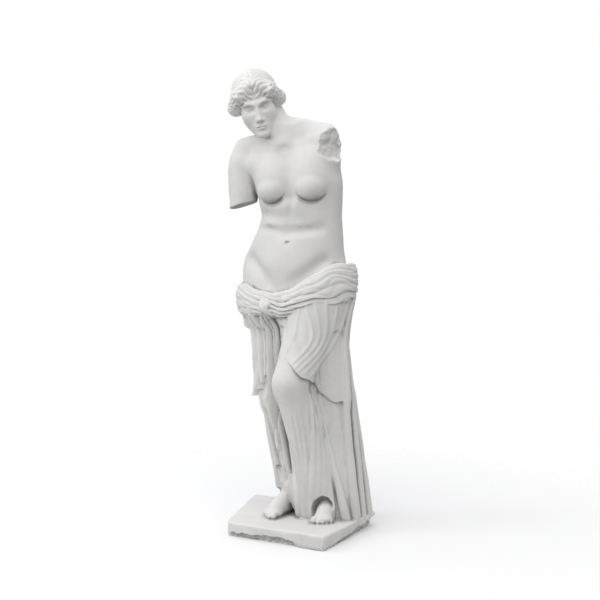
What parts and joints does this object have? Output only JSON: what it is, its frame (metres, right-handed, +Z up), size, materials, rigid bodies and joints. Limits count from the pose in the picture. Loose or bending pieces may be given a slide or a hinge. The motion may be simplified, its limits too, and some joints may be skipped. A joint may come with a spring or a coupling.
{
  "type": "classical marble statue",
  "caption": "Over-life-size standing marble figure, half draped and armless, carved in one block with a broken-edged plinth slab.",
  "frame": {"origin": "centre of the plinth's underside, midway between its front and back edges and its widest corners", "axes": "+Z up, the figure's straight leg and chest face -Y, the figure's own left side is +X"},
  "size_m": [0.6567, 0.5037, 1.9986],
  "materials": {
    "marble": "matte, lightly weathered white marble"
  },
  "bodies": {
    "root": {"statue": "marble"}
  },
  "joints": []
}
